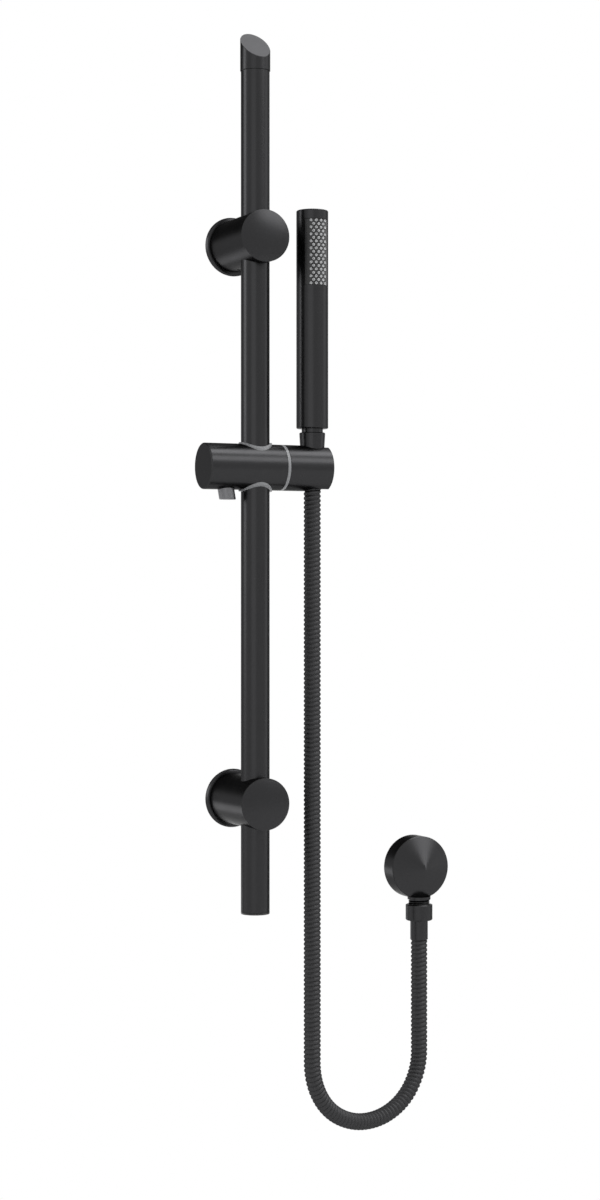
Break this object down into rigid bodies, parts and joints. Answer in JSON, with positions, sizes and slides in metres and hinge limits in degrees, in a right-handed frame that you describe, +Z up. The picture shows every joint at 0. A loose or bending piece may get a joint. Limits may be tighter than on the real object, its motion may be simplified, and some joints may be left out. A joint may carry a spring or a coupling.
{
  "type": "shower slide rail",
  "caption": "Wall-fixed shower slide rail with a sliding swivel holder, slim hand shower, ribbed hose and round wall outlet.",
  "frame": {"origin": "centre of the lower bracket's wall face", "axes": "+X to the right along the wall as seen from the room, +Y into the wall, +Z up along the rail"},
  "size_m": [0.2561, 0.09, 0.9685],
  "materials": {
    "black_metal": "satin",
    "black_plastic": "satin",
    "grey_plastic": "satin",
    "button_metal": "satin",
    "steel": "satin",
    "brass": "satin",
    "grey_silicone": "matte",
    "seal_rubber": "matte",
    "hose_cover": "satin"
  },
  "bodies": {
    "rail": {"check_valve": "black_plastic", "hose": "hose_cover", "inlet_nipple": "brass", "lower_boss_grub_screw": "steel", "lower_bracket_body": "black_metal", "lower_hose_ferrule": "black_metal", "lower_hose_nut": "black_metal", "lower_hose_washer": "seal_rubber", "lower_rail_grub_screw": "steel", "lower_wall_boss": "brass", "lower_wall_ring": "black_metal", "outlet_body": "black_metal", "outlet_connector": "black_metal", "rail_bottom_plug": "black_plastic", "rail_top_cap": "black_metal", "rail_tube": "black_metal", "upper_boss_grub_screw": "steel", "upper_bracket_body": "black_metal", "upper_rail_grub_screw": "steel", "upper_wall_boss": "brass", "upper_wall_ring": "black_metal", "wall_gasket": "seal_rubber"},
    "slider": {"slider_body": "black_metal", "rail_liner": "grey_plastic", "brake_spring": "steel", "separator_ring": "grey_plastic", "swivel_axle": "steel", "swivel_washer": "grey_plastic"},
    "holder": {"holder_body": "black_metal", "holder_grub_screw": "steel", "handset_body": "black_metal", "spray_plate": "black_plastic", "nozzle_mat": "grey_silicone", "handset_neck": "black_metal", "upper_hose_washer": "seal_rubber", "hose_cone_nut": "black_metal", "upper_hose_tail": "black_plastic"},
    "button": {"release_button": "button_metal", "button_clip": "steel"},
    "shoe": {"brake_shoe": "black_plastic"}
  },
  "joints": [
    {"name": "slider_slide", "type": "slide", "parent": "rail", "child": "slider", "axis": [0, 0, 1], "range_m": [-0.247, 0.154], "deforming": ["hose"]},
    {"name": "holder_swivel", "type": "hinge", "parent": "slider", "child": "holder", "pos_m": [0.0328, -0.051, 0.291], "axis": [1, 0, 0], "range_deg": [-8, 50], "deforming": ["hose"]},
    {"name": "button_press", "type": "slide", "parent": "slider", "child": "button", "axis": [-0.1736, 0, 0.9848], "range_m": [0, 0.0035], "stiffness_N_per_m": 1500, "springref_m": -0.002},
    {"name": "brake_release", "type": "slide", "parent": "slider", "child": "shoe", "axis": [-1, 0, 0], "range_m": [0, 0.00104], "deforming": ["brake_spring"]}
  ],
  "couplings": [
    {"joint": "brake_release", "follows": "button_press", "ratio": 0.29457}
  ]
}
